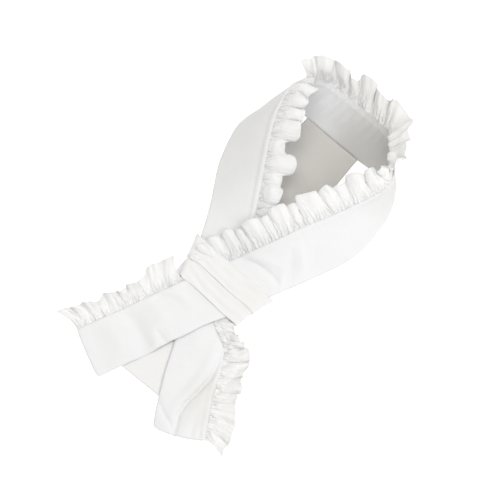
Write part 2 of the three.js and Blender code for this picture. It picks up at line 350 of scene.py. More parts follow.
def makeSeamGathers():
    group, entry, leave = startGroup(
        "seamGathers", "Cloth", {"Gathers per metre": 150.0, "Reach": 0.023}, ["Height"])
    parts = makeNode(group, "ShaderNodeSeparateXYZ", -700, 0)
    group.links.new(entry.outputs["Cloth"], parts.inputs[0])
    wander = makeNode(group, "ShaderNodeTexNoise", -700, 240)
    wander.inputs["Scale"].default_value = 70.0
    wander.inputs["Detail"].default_value = 2.0
    group.links.new(entry.outputs["Cloth"], wander.inputs["Vector"])
    crowding = 16.0  # how far the gathers crowd and spread, in radians of their wave
    shift = mathNode(group, "MULTIPLY", -500, 240, wander.outputs[0], crowding)
    turns = mathNode(group, "MULTIPLY", -500, 80, entry.outputs["Gathers per metre"], 2 * math.pi)
    wave = mathNode(group, "SINE", -100, 120, mathNode(
        group, "MULTIPLY_ADD", -300, 120, parts.outputs[0], turns, shift))
    fade = makeNode(group, "ShaderNodeMapRange", -100, -120, interpolation_type="SMOOTHSTEP")
    fade.inputs["From Min"].default_value = 0.0
    fade.inputs["To Min"].default_value = 1.0
    fade.inputs["To Max"].default_value = 0.1
    group.links.new(entry.outputs["Reach"], fade.inputs["From Max"])
    group.links.new(parts.outputs[1], fade.inputs["Value"])
    group.links.new(mathNode(group, "MULTIPLY", 300, 0, wave, fade.outputs[0]), leave.inputs["Height"])
    return group


# a round patch of painted shade: full out to a quarter of its reach, gone at its reach
def makePaintedShadeMask():
    group, entry, leave = startGroup("paintedShadeMask", "Place", {"Centre": (0, 0, 0), "Reach": 0.08}, ["Mask"])
    away = makeNode(group, "ShaderNodeVectorMath", -250, 0, operation="DISTANCE")
    group.links.new(entry.outputs["Place"], away.inputs[0])
    group.links.new(entry.outputs["Centre"], away.inputs[1])
    share = mathNode(group, "DIVIDE", -50, 0, away.outputs["Value"], entry.outputs["Reach"])
    fade = makeNode(group, "ShaderNodeMapRange", 150, 0, interpolation_type="SMOOTHSTEP")
    fade.inputs["From Min"].default_value = 0.25
    fade.inputs["From Max"].default_value = 1.0
    fade.inputs["To Min"].default_value = 1.0
    fade.inputs["To Max"].default_value = 0.0
    group.links.new(share, fade.inputs["Value"])
    group.links.new(fade.outputs[0], leave.inputs["Mask"])
    return group


plainWeave = makePlainWeave()
softWrinkles = makeSoftWrinkles()
stitchRow = makeStitchRow()
paintedShadeMask = makePaintedShadeMask()
seamGathers = makeSeamGathers()


# what every cotton piece has unless its own finish says otherwise, lengths in metres
plainCotton = {
    "weaveDepth": 0.00006, "threadShade": 0.1, "mottle": 1.6,
    "roughness": 0.88, "specular": 0.25, "sheen": 0.15, "sheenRoughness": 0.5,
    "glow": 0.0, "glowColour": (1.0, 0.95, 0.85), "glowDepth": 0.002,
    "paintedShade": (), "stitchedAt": None, "stitchDepth": 0.0004, "gatherDepth": None,
}


def makeCotton(name, finish):
    finish = {**plainCotton, **finish}
    material = bpy.data.materials.new(name)
    material.use_nodes = True
    tree = material.node_tree
    tree.nodes.clear()
    surface = makeNode(tree, "ShaderNodeBsdfPrincipled", 500, 0)
    output = makeNode(tree, "ShaderNodeOutputMaterial", 800, 0)
    tree.links.new(surface.outputs[0], output.inputs[0])
    cloth = makeNode(tree, "ShaderNodeUVMap", -900, 100, uv_map="cloth")
    place = makeNode(tree, "ShaderNodeTexCoord", -900, -200)
    weave = makeNode(tree, "ShaderNodeGroup", -650, 160, node_tree=plainWeave)
    tree.links.new(cloth.outputs[0], weave.inputs["Cloth"])
    wrinkles = makeNode(tree, "ShaderNodeGroup", -650, -160, node_tree=softWrinkles)
    wrinkles.inputs["Size"].default_value = finish["wrinkleSize"]
    tree.links.new(place.outputs["Object"], wrinkles.inputs["Place"])
    blend = makeNode(tree, "ShaderNodeMix", -350, 250, data_type="RGBA")
    blend.inputs["A"].default_value = (*finish["light"], 1)
    blend.inputs["B"].default_value = (*finish["shaded"], 1)
    middle = (1 - finish["mottle"]) / 2
    spread = mathNode(tree, "MULTIPLY_ADD", -480, 300, wrinkles.outputs["Mottle"], finish["mottle"], middle,
                      clamp=True)
    tree.links.new(spread, blend.inputs["Factor"])
    threads = makeNode(tree, "ShaderNodeMix", -120, 250, data_type="RGBA", blend_type="MULTIPLY")
    threads.inputs["Factor"].default_value = finish["threadShade"]
    tree.links.new(blend.outputs["Result"], threads.inputs["A"])
    tree.links.new(weave.outputs["Shade"], threads.inputs["B"])
    colour = threads.outputs["Result"]
    # each patch of painted shade multiplies the colour by its tone round its centre
    for centre, reach, tone in finish["paintedShade"]:
        mask = makeNode(tree, "ShaderNodeGroup", -120, 450, node_tree=paintedShadeMask)
        mask.inputs["Centre"].default_value = centre
        mask.inputs["Reach"].default_value = reach
        tree.links.new(place.outputs["Object"], mask.inputs["Place"])
        toned = makeNode(tree, "ShaderNodeMix", 120, 400, data_type="RGBA", blend_type="MULTIPLY")
        toned.inputs["B"].default_value = (*tone, 1)
        tree.links.new(mask.outputs["Mask"], toned.inputs["Factor"])
        tree.links.new(colour, toned.inputs["A"])
        colour = toned.outputs["Result"]
    tree.links.new(colour, surface.inputs["Base Color"])
    bumpWide = makeNode(tree, "ShaderNodeBump", -120, -160)
    bumpWide.inputs["Strength"].default_value = 1.0
    bumpWide.inputs["Distance"].default_value = finish["wrinkleDepth"]
    tree.links.new(wrinkles.outputs["Height"], bumpWide.inputs["Height"])
    bumpFine = makeNode(tree, "ShaderNodeBump", 150, -160)
    bumpFine.inputs["Strength"].default_value = 1.0
    bumpFine.inputs["Distance"].default_value = finish["weaveDepth"]
    tree.links.new(weave.outputs["Height"], bumpFine.inputs["Height"])
    tree.links.new(bumpWide.outputs[0], bumpFine.inputs["Normal"])
    last = bumpFine
    if finish["stitchedAt"]:
        seam = makeNode(tree, "ShaderNodeGroup", -350, -380, node_tree=stitchRow)
        seam.inputs["Distance"].default_value = finish["stitchedAt"]
        tree.links.new(cloth.outputs[0], seam.inputs["Cloth"])
        bumpSeam = makeNode(tree, "ShaderNodeBump", 320, -260)
        bumpSeam.inputs["Distance"].default_value = finish["stitchDepth"]
        tree.links.new(seam.outputs["Mask"], bumpSeam.inputs["Height"])
        tree.links.new(bumpFine.outputs[0], bumpSeam.inputs["Normal"])
        last = bumpSeam
    if finish["gatherDepth"]:
        ruffle = makeNode(tree, "ShaderNodeGroup", -350, -560, node_tree=seamGathers)
        tree.links.new(cloth.outputs[0], ruffle.inputs["Cloth"])
        bumpRuffle = makeNode(tree, "ShaderNodeBump", 420, -420)
        bumpRuffle.inputs["Distance"].default_value = finish["gatherDepth"]
        tree.links.new(ruffle.outputs["Height"], bumpRuffle.inputs["Height"])
        tree.links.new(last.outputs[0], bumpRuffle.inputs["Normal"])
        last = bumpRuffle
    tree.links.new(last.outputs[0], surface.inputs["Normal"])
    surface.inputs["Roughness"].default_value = finish["roughness"]
    surface.inputs["Specular IOR Level"].default_value = finish["specular"]
    surface.inputs["Sheen Weight"].default_value = finish["sheen"]
    surface.inputs["Sheen Roughness"].default_value = finish["sheenRoughness"]
    surface.inputs["Subsurface Weight"].default_value = finish["glow"]
    surface.inputs["Subsurface Radius"].default_value = finish["glowColour"]
    surface.inputs["Subsurface Scale"].default_value = finish["glowDepth"]
    return material


# patches of painted shade, darker and warmer where shade falls, each as centre, reach, tone
bandCotton = makeCotton("bandCotton", {
    "light": (0.80, 0.805, 0.815), "shaded": (0.775, 0.78, 0.79),
    "wrinkleSize": 22.0, "wrinkleDepth": 0.0012,
    "paintedShade": [
        # painted shade inside the back of the neck, towards the right turn
        ((0.035, 0.212, 0.012), 0.095, (0.74, 0.72, 0.688)),
        # painted shade on the right tail beside its long crease
        ((0.101, -0.142, 0.005), 0.045, (0.94, 0.928, 0.90)),
        # painted shade on the left strand's face, which turns away from the light
        ((-0.085, 0.125, 0.018), 0.11, (0.925, 0.922, 0.915)),
    ],
})
frillCotton = makeCotton("frillCotton", {
    "light": (0.838, 0.84, 0.84), "shaded": (0.82, 0.819, 0.815),
    "wrinkleSize": 60.0, "wrinkleDepth": 0.0008,
    # painted shade on the frill at the back of the neck
    "paintedShade": [((0.01, 0.25, 0.05), 0.085, (0.93, 0.925, 0.92))],
    "stitchedAt": 0.0318, "glow": 0.3, "gatherDepth": 0.0006,
})
wrapCotton = makeCotton("wrapCotton", {
    "light": (0.80, 0.80, 0.797), "shaded": (0.785, 0.783, 0.776),
    "wrinkleSize": 30.0, "wrinkleDepth": 0.0010,
})
panelCotton = makeCotton("panelCotton", {
    "light": (0.80, 0.80, 0.797), "shaded": (0.785, 0.783, 0.778),
    "wrinkleSize": 26.0, "wrinkleDepth": 0.0010,
    # painted shade on the panel inside the neck loop
    "paintedShade": [((0.0, 0.17, 0.0), 0.14, (0.72, 0.70, 0.668))],
})
print("materials made")


# band
# at: a distance from the rim, fade: how fast a detail fades away from there, both in millimetres
band = {
    "alongSteps": 540, "acrossSteps": 30, "thickness": 1.5, "width": 62.0, "lowest": 1.0,
    "knots": (180, 905), "knotReach": 46, "knotHold": 0.9,
    "ridge": {"height": 0.8, "at": 3.8, "fade": 2.5, "raise": 1.0, "raisedOver": (235, 40, 480, 40)},
    "groove": {"depth": 0.4, "at": 8.4, "fade": 1.8},
    "gathers": {"height": 0.34, "spacing": 6.2, "at": 1.5, "fade": 6.5},
    "streaks": {"height": 1.5, "spacing": 12.5, "fade": 32, "over": (455, 25, 640, 30)},
    "swell": {"height": 0.9, "size": 38, "fineHeight": 0.3, "fineSize": 15, "atEdges": 0.25},
    "sway": {"rim": 0.9, "rimSize": 46, "hem": 0.8, "hemSize": 37},
    "ends": {"rightBulge": 3.2, "leftBulge": 0.8, "fade": 5.0, "hemCut": 2.2, "rimCut": 0.8, "cutFade": 2},
    "edge": {"reach": 3.0, "thinnest": 0.15, "power": 0.6},
}

# Folds in the band: millimetres along the seam and share from hem to rim at each point, depth, width
bandFolds = [
    ([(120, 0.93), (96, 0.93), (76, 0.86), (58, 0.70), (44, 0.53), (28, 0.43), (0, 0.41)], -4.0, 2.5),
    ([(112, 0.80), (84, 0.74), (62, 0.58), (44, 0.40), (26, 0.30)], 1.8, 6.5),
    ([(80, 1.0), (52, 0.86), (34, 0.68), (16, 0.60), (0, 0.56)], 1.6, 6.0),
    ([(22, 0.9), (10, 0.82), (0, 0.80)], 0.9, 3.0),
    ([(24, 0.74), (0, 0.70)], -0.9, 2.2),
    ([(18, 0.86), (0, 0.88)], -0.8, 2.0),
    ([(50, -0.02), (34, 0.12), (18, 0.27), (0, 0.40)], -1.7, 2.4),
    ([(30, 0.06), (10, 0.16)], 0.9, 6.0),
    ([(1016, 1.0), (1006, 0.6), (1003, 0.2), (1008, 0.0)], -3.4, 9.0),
    ([(984, 0.80), (978, 0.50), (986, 0.25)], 1.8, 11.0),
    ([(1040, 0.9), (1032, 0.5), (1036, 0.1)], 1.6, 10.0),
    ([(985, 0.32), (982, 0.14), (979, -0.02)], -2.0, 2.4),
    ([(992, 0.2), (990, 0.0)], 1.2, 4.5),
    ([(972, 0.2), (970, 0.0)], 1.0, 4.0),
    ([(976, 0.98), (966, 0.86), (954, 0.72), (946, 0.45)], -2.4, 3.8),
    ([(966, 1.0), (954, 0.90), (944, 0.78), (938, 0.55)], 2.2, 4.2),
    ([(985, 0.95), (976, 0.7), (966, 0.4)], 2.0, 8.0),
    ([(1062, 1.0), (1056, 0.5), (1062, 0.0)], -0.8, 9.0),
    ([(866, 0.98), (856, 0.84), (847, 0.68), (838, 0.42), (834, 0.2)], -3.0, 3.6),
    ([(854, 0.98), (842, 0.80), (828, 0.58), (818, 0.40)], 2.4, 5.0),
    ([(874, 0.80), (866, 0.55), (858, 0.3)], 1.0, 5.0),
    ([(804, 0.66), (811, 0.44), (819, 0.20), (828, 0.02)], -3.0, 3.4),
    ([(794, 0.60), (800, 0.36), (808, 0.08)], 2.2, 4.5),
    ([(824, 0.40), (832, 0.10)], 2.0, 4.0),
    ([(768, 0.85), (780, 0.45), (790, 0.1)], -1.0, 7.0),
    ([(742, 0.7), (752, 0.3)], 0.8, 9.0),
    ([(708, 0.8), (716, 0.3)], -0.7, 9.0),
    ([(240, 0.9), (262, 0.5), (290, 0.1)], -1.0, 11.0),
    ([(300, 0.95), (312, 0.55), (330, 0.2)], 0.9, 14.0),
    ([(345, 0.85), (360, 0.4), (386, 0.1)], -0.8, 15.0),
    ([(418, 0.9), (428, 0.5), (436, 0.1)], -1.0, 9.0),
]
foldEndLoss = 0.55  # how much of its depth a fold loses towards its ends


def foldDepth(along, across):
    lift = np.zeros(len(along))
    here = np.stack([along, across * band["width"]], 1)
    for points, depth, width in bandFolds:
        path = np.array([(a, b * band["width"]) for a, b in points], float)
        nearest = np.full(len(along), np.inf)
        fade = np.zeros(len(along))
        lengths = np.concatenate([[0], np.cumsum(np.linalg.norm(np.diff(path, axis=0), axis=1))])
        for index in range(len(path) - 1):
            step = path[index + 1] - path[index]
            share = np.clip(((here - path[index]) @ step) / (step @ step), 0, 1)
            gap = np.linalg.norm(here - path[index] - share[:, None] * step, axis=1)
            run = (lengths[index] + share * (lengths[index + 1] - lengths[index])) / lengths[-1]
            nearer = gap < nearest
            nearest = np.where(nearer, gap, nearest)
            fade = np.where(nearer, 1 - foldEndLoss * np.abs(2 * run - 1) ** 2, fade)
        lift += depth * fade * bump(nearest, width)
    return lift


def knotHold(along):
    lower, upper = (bump(along - knot, band["knotReach"]) for knot in band["knots"])
    return 1 - np.clip(lower + upper, 0, 1) * band["knotHold"]


def bandSurface(run, across):
    rim, hem, forward, outward, crown = seamAt(run)
    ridge, groove, gathers, streaks = (band[key] for key in ("ridge", "groove", "gathers", "streaks"))
    swell, sway, ends = (band[key] for key in ("swell", "sway", "ends"))
    fromRim = (1 - across) * band["width"]
    fromHem = across * band["width"]
    hold = knotHold(run)
    middle = np.sin(math.pi * across)

    # along the seam: the rolled ridge, the groove beside it and the small gathers
    ridgeHeight = ridge["height"] + ridge["raise"] * within(run, *ridge["raisedOver"])
    rolled = ridgeHeight * bump(fromRim - ridge["at"], ridge["fade"])
    rolled = rolled - groove["depth"] * bump(fromRim - groove["at"], groove["fade"])
    turns = run / gathers["spacing"] + 0.4 * unevenLine(run, 11, 3)
    gathered = gathers["height"] * np.sin(2 * math.pi * turns)
    fade = np.exp(-np.abs(fromRim - gathers["at"]) / gathers["fade"])
    gathered *= fade * (0.7 + 0.5 * unevenLine(run, 17, 4))

    # pulled creases down the nape, and the cloth's own swell
    nape = within(run, *streaks["over"])
    phase = 2 * math.pi * run / streaks["spacing"] + 2.6 * unevenLine(run, 23, 8)
    pulled = streaks["height"] * nape * np.sin(phase)
    pulled *= np.exp(-(fromRim / streaks["fade"]) ** 2) * (0.7 + 0.4 * unevenSheet(run, fromHem, 21, 9))
    swelling = swell["height"] * unevenSheet(run, fromHem, swell["size"], 5)
    swelling = swelling + swell["fineHeight"] * unevenSheet(run, fromHem, swell["fineSize"], 6)
    swelling = swelling * (swell["atEdges"] + (1 - swell["atEdges"]) * middle)
    lift = crown * middle + hold * (rolled + gathered + pulled + swelling + foldDepth(run, across))

    swayed = sway["rim"] * unevenLine(run, sway["rimSize"], 10) * across
    swayed = hold * (swayed + sway["hem"] * unevenLine(run, sway["hemSize"], 11) * (1 - across))
    down = unit(rim - hem)
    places = hem + (rim - hem) * across[:, None] + outward * lift[:, None] + down * swayed[:, None]

    # the two ends bulge a little, with softened corners
    hemCut = ends["hemCut"] * np.exp(-fromHem / ends["cutFade"])
    rimCut = ends["rimCut"] * np.exp(-fromRim / ends["cutFade"])
    corner = -hemCut - rimCut
    rightEnd = np.exp(-run / ends["fade"]) * (ends["rightBulge"] * middle + corner)
    leftEnd = np.exp(-(seamLength - run) / ends["fade"]) * (ends["leftBulge"] * middle + corner)
    return places + forward * (leftEnd - rightEnd)[:, None]


def bandShape(along, across):
    run = along * seamLength
    places = bandSurface(run, across)
    places[:, 2] = np.maximum(places[:, 2], band["lowest"])
    return places, np.stack([run, across * band["width"]], 1)


bandPiece = clothGrid("band_cloth", band["alongSteps"], band["acrossSteps"], bandShape)
edge = band["edge"]
thicker = bandPiece.vertex_groups.new(name="thickness")
for loop in bandPiece.data.loops:
    flatPlace = bandPiece.data.uv_layers["cloth"].data[loop.index].uv
    fromSide = min(flatPlace[1], band["width"] * mm - flatPlace[1]) / mm
    fromEnd = min(flatPlace[0], seamLength * mm - flatPlace[0]) / mm
    fullness = min(1.0, min(fromSide, fromEnd) / edge["reach"]) ** edge["power"]
    thicker.add([loop.vertex_index], edge["thinnest"] + (1 - edge["thinnest"]) * fullness, "REPLACE")
giveThickness(bandPiece, band["thickness"], "thickness")
finishPiece(bandPiece, bandCotton, "collar_band", slot="band_cotton")
print("band made")


# frill
# over: from where to where along the seam, each with the length of its fade
frill = {
    "alongSteps": 960, "acrossSteps": 11, "thickness": 0.5, "fullness": 1.5, "width": 34.0, "inset": 0.9,
    "lowest": 0.9, "turnsOver": 1.2,
    "drawn": {"by": 20.0, "over": (104, 42, 150, 14), "lift": 1.6, "liftFade": 6},
    "rolled": {"by": 9.0, "over": (590, 30, 664, 24), "at": 0.22, "width": 0.17},
    "flared": {"rightTail": (100, 20), "leftTail": (925, 20), "opening": 0.75, "less": 0.45},
    "flat": {"from": (245, 30), "lessFrom": (450, 30), "less": 0.4, "to": (655, 20), "crest": 0.9},
    "crease": {"share": 0.2, "fine": 0.7, "spacing": 8.5},
    "hem": {"curl": 0.9, "width": 0.12},
    "shortened": 0.3, "fanned": 1.5, "crowded": 0.17,
}
# how uneven the frill is: amount, size along the seam, seed
frillUneven = {
    "wander": (1.5, 9, 29), "tilt": (5.0, 24, 22), "height": (0.15, 21, 24), "reach": (0.05, 9, 23),
    "crease": (3.0, 31, 26), "fineCrease": (5.0, 19, 28), "sheet": (0.8, 11, 27),
}

# The lobes of the frill, one row from each gather to the next. Each row: where it starts in millimetres
# along the seam, reach from seam to free edge, height, lean from upright towards the neck side in degrees,
# how far the free edge runs ahead
frillLobes = [
    (0, 30, 5, 76, -16),
    (12, 35, 6, 74, -12),
    (27, 36, 7, 74, -4),
    (45, 34, 6, 74, 2),
    (58, 37, 7, 74, 3),
    (76, 38, 8, 72, 4),
    (95, 39, 8, 68, 2),
    (110, 39, 7, 70, -3),
    (122, 37, 6, 70, -5),
    (134, 30, 5, 68, -6),
    (146, 14, 2, 74, 0),
    (160, 4, 0.3, 90, 0),
    (180, 4, 0.3, 90, 0),
    (197, 12, 0.5, 90, 0),
    (215, 20, 1.5, 92, 0),
    (233, 27, 3, 94, 0),
    (252, 29, 3, 96, 0),
    (272, 31, 4, 95, 0),
    (294, 34, 5, 93, 0),
    (316, 28, 3, 93, 0),
    (332, 43, 6, 91, 2),
    (355, 26, 3, 94, 0),
    (374, 44, 7, 91, 2),
    (400, 48, 5, 92, 5),
    (416, 47, 6, 91, 5),
    (434, 43, 6, 88, 10),
    (452, 34, 5, 62, 8),
    (462, 33, 6, -38, -13),
    (474, 39, 7, -46, -8),
    (500, 38, 7, -48, -14),
    (523, 28, 5, -44, -10),
    (532, 41, 9, -48, -12),
    (556, 35, 7, -50, -12),
    (579, 38, 8, -54, -8),
    (601, 43, 8, -62, -2),
    (625, 39, 7, -58, 2),
    (642, 36, 6, -30, 0),
    (654, 38, 6, 40, -4),
    (664, 43, 7, 84, -3),
    (690, 40, 7, 84, -4),
    (716, 33, 4, 84, 0),
    (726, 38, 6, 84, 2),
    (740, 39, 8, 84, 4),
    (777, 33, 4, 84, 0),
    (786, 39, 7, 84, 0),
    (811, 32, 3, 82, 2),
    (821, 38, 7, 82, 2),
    (845, 33, 4, 82, 0),
    (855, 37, 6, 80, 2),
    (873, 36, 6, 72, 8),
    (887, 34, 6, 66, 13),
    (897, 26, 4, 64, 12),
    (908, 6, 0.5, 84, 2),
    (931, 5, 0.4, 86, -2),
    (943, 38, 8, 58, -12),
    (959, 36, 8, 60, -4),
    (976, 28, 5, 64, 0),
    (986, 34, 8, 58, 1),
    (1001, 29, 6, 62, 0),
    (1013, 34, 8, 58, 0),
    (1028, 29, 6, 62, 1),
    (1039, 32, 8, 58, 3),
    (1052, 30, 6, 62, 6),
    (1063, 33, 7, 60, 14),
]
lobeColumns = {name: np.array(values, float) for name, values in zip(
    ("start", "reach", "height", "lean", "fan"), zip(*frillLobes))}
lobeHold = 0.18  # share of the way to the next lobe's middle over which a lobe keeps its own value


def lobeValue(turns, name):
    values = lobeColumns[name]
    index = np.clip(np.floor(turns - 0.5).astype(int), 0, len(values) - 2)
    share = eased((turns - (index + 0.5) - lobeHold) / (1 - 2 * lobeHold))
    return values[index] + (values[index + 1] - values[index]) * share


def frillShape(along, across):
    drawn, rolled, flared, flat = (frill[key] for key in ("drawn", "rolled", "flared", "flat"))
    run = along * seamLength
    rim, hem, forward, outward, _ = seamAt(run)
    neckSide = unit(np.stack([forward[:, 1], -forward[:, 0], np.zeros(len(run))], 1))
    upward = unit(np.cross(neckSide, forward))

    # which lobe each place belongs to, and that lobe's own height, lean, reach and fan
    stops = np.append(lobeColumns["start"], seamLength)
    wander = run + varying(run, *frillUneven["wander"]) * across
    turns = np.interp(wander, stops, np.arange(len(stops)))
    spacing = np.interp(turns, np.arange(len(stops) - 1) + 0.5, np.diff(stops))
    lobe = 2 * math.pi * turns
    flatter = startedBy(run, *flat["from"]) * (1 - flat["less"] * startedBy(run, *flat["lessFrom"]))
    flatter = flatter * endedBy(run, *flat["to"])
    crest = 2 * np.abs(np.sin(lobe / 2)) ** (flat["crest"] + flat["crest"] * flatter) - 1
    lean = np.radians(lobeValue(turns, "lean") + varying(run, *frillUneven["tilt"]))
    wave = lobeValue(turns, "height") * (1 + varying(run, *frillUneven["height"]))
    reach = lobeValue(turns, "reach") * (1 + varying(run, *frillUneven["reach"]))
    reach = reach - frill["shortened"] * wave * (1 - crest)
    small = np.minimum(wave / 4, 1)  # low lobes have little curl and unevenness

    # the middle of the cloth, which turns over from the seam's own direction into its fall
    fall = neckSide * np.sin(lean)[:, None] + upward * np.cos(lean)[:, None]
    seamFall = rim - hem
    seamFall = unit(seamFall - forward * (seamFall * forward).sum(1)[:, None])
    heading, seamSum, fallSum = seamOut(seamFall, fall, across)
    drawnBy = drawn["by"] * startedBy(run, *drawn["over"][:2]) * (1 - startedBy(run, *drawn["over"][2:]))
    start = bandSurface(run, 1 - drawnBy / band["width"]) - seamFall * frill["inset"]
    start = start + outward * (drawn["lift"] * np.minimum(drawnBy / drawn["liftFade"], 1))[:, None]
    spine = start + (seamFall * seamSum[:, None] + fall * fallSum[:, None]) * reach[:, None]
    spine = spine + forward * (lobeValue(turns, "fan") * across ** frill["fanned"])[:, None]
    rolledBy = rolled["by"] * within(run, *rolled["over"]) * bump(across - rolled["at"], rolled["width"])
    spine = spine + neckSide * rolledBy[:, None]

    # the waves, their creases and the curl of the free edge
    normal = unit(np.cross(heading, forward))
    onTails = startedBy(run, *flared["leftTail"]) + endedBy(run, *flared["rightTail"])
    opening = across ** (flared["opening"] + flared["less"] * onTails)
    crease = frill["crease"]["share"] * wave * np.sin(3 * lobe + varying(run, *frillUneven["crease"]))
    crease = crease * across ** 0.6 * (1 - 0.4 * across)
    phase = 2 * math.pi * run / frill["crease"]["spacing"] + varying(run, *frillUneven["fineCrease"])
    crease = crease + frill["crease"]["fine"] * np.sin(phase) * across ** 0.5
    swing = wave * opening * crest + crease
    amount, size, seed = frillUneven["sheet"]
    swing = swing + amount * across * unevenSheet(run * 2.0, across * frill["width"], size, seed) * small
    swing = swing * np.clip(2 * np.sin(lean), -1, 1)
    side = -frill["crowded"] * spacing * across ** 1.3 * np.sin(lobe) * np.minimum(wave / 5, 1)
    curl = frill["hem"]["curl"] * bump(across - 1, frill["hem"]["width"]) * np.sin(2 * lobe + 0.8) * small
    places = spine + normal * (swing + curl)[:, None] + forward * side[:, None]
    places[:, 2] = softFloor(places[:, 2], frill["lowest"])
    return places, np.stack([run * frill["fullness"], across * frill["width"]], 1)


def seamOut(seamFall, fall, across):
    # share of the seam's own direction and of the fall, summed from the seam to this place
    turned = 1 / frill["turnsOver"]
    mixed = np.minimum(across, turned)
    fallSum = frill["turnsOver"] * mixed ** 2 / 2 + np.maximum(across - turned, 0)
    seamSum = across - fallSum
    blendShare = np.minimum(1, across * frill["turnsOver"])[:, None]
    heading = unit(seamFall * (1 - blendShare) + fall * blendShare)
    return heading, seamSum, fallSum


def softFloor(height, lowest, soft=2):
    # heights near the lowest one and below it are eased up to just above it
    over = height - lowest
    return lowest + np.where(over > soft, over, soft * np.exp(np.minimum(over, soft) / soft - 1))


frillPiece = clothGrid("frill_cloth", frill["alongSteps"], frill["acrossSteps"], frillShape)


# The frill is settled at ten times its size, and part of that movement is kept, least beside the wrap
settling = {
    "size": 10.0, "frames": 14, "heldRows": 1.2,
    "share": 0.5, "leastShare": 0.2, "wrapAt": 880, "wrapReach": 100,
    "cloth": {
        "quality": 6, "mass": 0.15,
        "tension_stiffness": 15, "compression_stiffness": 15, "shear_stiffness": 5, "bending_stiffness": 6.0,
        "tension_damping": 15, "compression_damping": 15, "shear_damping": 10, "bending_damping": 2.0,
        "air_damping": 3.0, "vertex_group_mass": "held", "vertex_group_shrink": "flare",
    },
    "touching": {
        "distance_min": 0.012, "self_distance_min": 0.009, "use_self_collision": True,
        "collision_quality": 2,
    },
    "gravity": 0.08,
    "table": {"halfSide": 4.0, "height": 0.005},
    "blocks": {"thickness_outer": 0.008, "cloth_friction": 12.0},
}
smallGathers = {"height": 0.75, "spacing": 4.6, "start": 0.8, "fade": 10.0}


def setAll(settings, values):
    for name, value in values.items():
        setattr(settings, name, value)


def enlargedCopy(source, name, size):
    mesh = source.data.copy()
    for vert in mesh.vertices:
        vert.co = vert.co * size
    return linkedObject(name, mesh)


def clothPlaces(piece):
    # each point's place on the flat cloth, in metres
    flat = np.zeros((len(piece.data.vertices), 2))
    uv = piece.data.uv_layers["cloth"].data
    for loop in piece.data.loops:
        flat[loop.vertex_index] = uv[loop.index].uv
    return flat


def settleFrill(piece):
    size = settling["size"]
    loose = enlargedCopy(piece, "loose_frill", size)
    held = loose.vertex_groups.new(name="held")
    flare = loose.vertex_groups.new(name="flare")
    flat = clothPlaces(piece)
    for index, down in enumerate(flat[:, 1] / mm):
        rows = down / frill["width"] * frill["acrossSteps"]
        held.add([index], 1.0 if rows < settling["heldRows"] else 0.0, "REPLACE")
        flare.add([index], min(1.0, down / frill["width"]), "REPLACE")
    cloth = loose.modifiers.new("settling", "CLOTH")
    setAll(cloth.settings, settling["cloth"])
    cloth.settings.effector_weights.gravity = settling["gravity"]
    setAll(cloth.collision_settings, settling["touching"])
    blocks = [enlargedCopy(bandPiece, "block_band", size), levelSquare("block_table", **settling["table"])]
    for block in blocks:
        block.modifiers.new("blocks", "COLLISION")
        setAll(block.collision, settling["blocks"])
    scene = bpy.context.scene
    for frameNumber in range(1, settling["frames"] + 1):
        scene.frame_set(frameNumber)
    settled = loose.evaluated_get(bpy.context.evaluated_depsgraph_get()).to_mesh()
    run = flat[:, 0] / mm / frill["fullness"]
    fromWrap = np.abs(run - settling["wrapAt"]) / settling["wrapReach"]
    shares = settling["share"] * np.clip(fromWrap, settling["leastShare"], 1)
    for vert, place, share in zip(piece.data.vertices, settled.vertices, shares):
        vert.co = vert.co.lerp(place.co / size, share)
    scene.frame_set(1)
    for extra in [loose, *blocks]:
        bpy.data.objects.remove(extra)


def gatherAtSeam(piece):
    # the small gathers that run out from the seam
    piece.data.update()
    normals = np.zeros(len(piece.data.vertices) * 3)
    piece.data.vertices.foreach_get("normal", normals)
    normals = normals.reshape(-1, 3)
    flat = clothPlaces(piece)
    run = flat[:, 0] / mm / frill["fullness"]
    down = flat[:, 1] / mm
    depth = smallGathers["height"] * np.minimum(down / smallGathers["start"], 1)
    depth = depth * np.exp(-down / smallGathers["fade"]) * (1 + 0.5 * unevenLine(run, 9, 51))
    ripple = np.sin(2 * math.pi * (run / smallGathers["spacing"] + 0.45 * unevenLine(run, 7, 52)))
    for vert, normal, lift in zip(piece.data.vertices, normals, depth * ripple * mm):
        vert.co = vert.co + Vector(normal * lift)


settleFrill(frillPiece)
print("frill settled")
gatherAtSeam(frillPiece)
giveThickness(frillPiece, frill["thickness"])
soften(frillPiece, 1)
finishPiece(frillPiece, frillCotton, "frill", slot="frill_cotton")
print("frill made")


# back panel
# each wave: height, size, seed
panel = {
    "width": 84.0, "length": 379.0, "drift": 32.0, "endSlope": 6.0, "neckX": 21.4, "neckY": 202.0,
    "alongSteps": 190, "acrossSteps": 42, "thickness": 0.9, "lowest": 0.55,
    "loop": (60, 30, 200, 12), "tails": (-110, 20),
    "loopWaves": [(0.9, 30, 31), (0.35, 12, 32)], "tailWaves": [(0.25, 22, 33)],
    "hem": {"height": 0.35, "at": 6, "width": 1.0},
    "seam": {"height": 0.8, "at": 8.5, "stray": 1.5, "width": 1.3},
}


